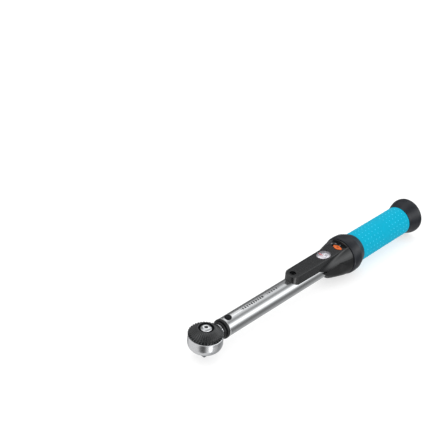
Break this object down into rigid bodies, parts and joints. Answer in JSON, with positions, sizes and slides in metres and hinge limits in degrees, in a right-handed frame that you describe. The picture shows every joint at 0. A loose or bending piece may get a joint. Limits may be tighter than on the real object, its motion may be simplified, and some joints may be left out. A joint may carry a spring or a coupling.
{
  "type": "torque wrench",
  "caption": "Click-type torque wrench: ratchet head with reversing dial and square drive, chrome tube, window-scale housing, lock slider and turning grip.",
  "frame": {"origin": "centre of the square drive's tip face", "axes": "+X from the ratchet head along the tube to the handle, +Z out of the reversing dial, -Z out of the square drive"},
  "size_m": [0.3252, 0.0392, 0.0392],
  "materials": {
    "chrome_tube": "bright chrome plate with fine lengthwise polish",
    "satin_chrome": "satin chrome plate",
    "polished_chrome": "polished chrome plate",
    "plain_steel": "machined steel",
    "spring_steel": "drawn spring wire",
    "black_oxide": "black oxide",
    "black_plastic": "fine textured black plastic",
    "collar_plastic": "satin black plastic",
    "dial_plastic": "ribbed black plastic",
    "black_rubber": "matte rubber",
    "teal_grip": "soft grip with small raised dots",
    "orange_plastic": "satin orange plastic",
    "white_scale": "white scale with black graduations",
    "red_mark": "red index line",
    "clear_lens": "clear polished lens"
  },
  "bodies": {
    "frame": {"tube": "chrome_tube", "pivot_pin": "black_oxide", "neck_boot": "black_rubber", "housing_upper": "black_plastic", "housing_lower": "black_plastic", "housing_screw": "black_oxide", "scale_window": "clear_lens", "index_pointer": "red_mark", "tube_end_plug": "plain_steel", "plug_pin": "black_oxide", "thrust_washer": "plain_steel"},
    "head": {"head_body": "satin_chrome", "head_cover": "plain_steel", "cover_clip": "spring_steel", "pawl_pin": "plain_steel"},
    "drive": {"drive_gear": "satin_chrome", "button_spring": "spring_steel"},
    "drive_ball": {"drive_ball": "plain_steel"},
    "button": {"release_button": "polished_chrome"},
    "dial": {"reversing_dial": "dial_plastic", "dial_clip": "spring_steel", "shift_lug": "plain_steel"},
    "pawl": {"pawl": "plain_steel"},
    "plunger": {"plunger": "plain_steel", "main_spring": "spring_steel"},
    "trip_block": {"trip_block": "plain_steel"},
    "carriage": {"spring_nut": "plain_steel", "scale_carrier": "white_scale"},
    "handle": {"collar_ring": "collar_plastic", "handle_core": "black_plastic", "grip_sleeve": "teal_grip", "end_cap": "collar_plastic", "lead_screw": "plain_steel", "screw_clip": "spring_steel", "handle_bolt": "black_oxide"},
    "lock_slider": {"lock_slider": "orange_plastic"},
    "lock_bolt": {"lock_bolt": "plain_steel"}
  },
  "joints": [
    {"name": "head_click", "type": "hinge", "parent": "frame", "child": "head", "pos_m": [0.028, 0, 0.0175], "axis": [0, 0, 1], "range_deg": [0, 2.5], "stiffness_Nm_per_rad": 5, "springref_deg": -2.86},
    {"name": "plunger_slide", "type": "slide", "parent": "frame", "child": "plunger", "axis": [1, 0, 0], "range_m": [0, 0.0009], "deforming": ["main_spring"]},
    {"name": "block_tilt", "type": "hinge", "parent": "plunger", "child": "trip_block", "pos_m": [0.0864, 0, 0.0175], "axis": [0, 0, -1], "range_deg": [0, 15.2]},
    {"name": "drive_spin", "type": "hinge", "parent": "head", "child": "drive", "pos_m": [0, 0, 0], "axis": [0, 0, 1], "continuous": true},
    {"name": "dial_turn", "type": "hinge", "parent": "head", "child": "dial", "pos_m": [0, 0, 0.02], "axis": [0, 0, 1], "range_deg": [0, 60]},
    {"name": "pawl_rock", "type": "hinge", "parent": "head", "child": "pawl", "pos_m": [0.0095, 0, 0.0135], "axis": [0, 0, 1], "range_deg": [0, 9]},
    {"name": "release_press", "type": "slide", "parent": "drive", "child": "button", "axis": [0, 0, -1], "range_m": [0, 0.002], "stiffness_N_per_m": 300, "springref_m": -0.003, "deforming": ["button_spring"]},
    {"name": "ball_retract", "type": "slide", "parent": "drive", "child": "drive_ball", "axis": [0, -1, 0], "range_m": [0, 0.0005]},
    {"name": "handle_turn", "type": "hinge", "parent": "frame", "child": "handle", "pos_m": [0.2, 0, 0.0175], "axis": [-1, 0, 0], "range_deg": [0, 4320]},
    {"name": "carriage_slide", "type": "slide", "parent": "frame", "child": "carriage", "axis": [-1, 0, 0], "range_m": [0, 0.018], "deforming": ["main_spring"]},
    {"name": "lock_slide", "type": "slide", "parent": "frame", "child": "lock_slider", "axis": [0, 1, 0], "range_m": [0, 0.0036]},
    {"name": "lock_bolt_slide", "type": "slide", "parent": "frame", "child": "lock_bolt", "axis": [1, 0, 0], "range_m": [0, 0.002]}
  ],
  "couplings": [
    {"joint": "plunger_slide", "follows": "head_click", "m_per_rad": 0.0206},
    {"joint": "block_tilt", "follows": "head_click", "ratio": 6.08},
    {"joint": "pawl_rock", "follows": "dial_turn", "ratio": 0.15},
    {"joint": "ball_retract", "follows": "release_press", "ratio": 0.25},
    {"joint": "carriage_slide", "follows": "handle_turn", "m_per_rad": 0.00023873},
    {"joint": "lock_bolt_slide", "follows": "lock_slide", "ratio": 0.5555}
  ]
}
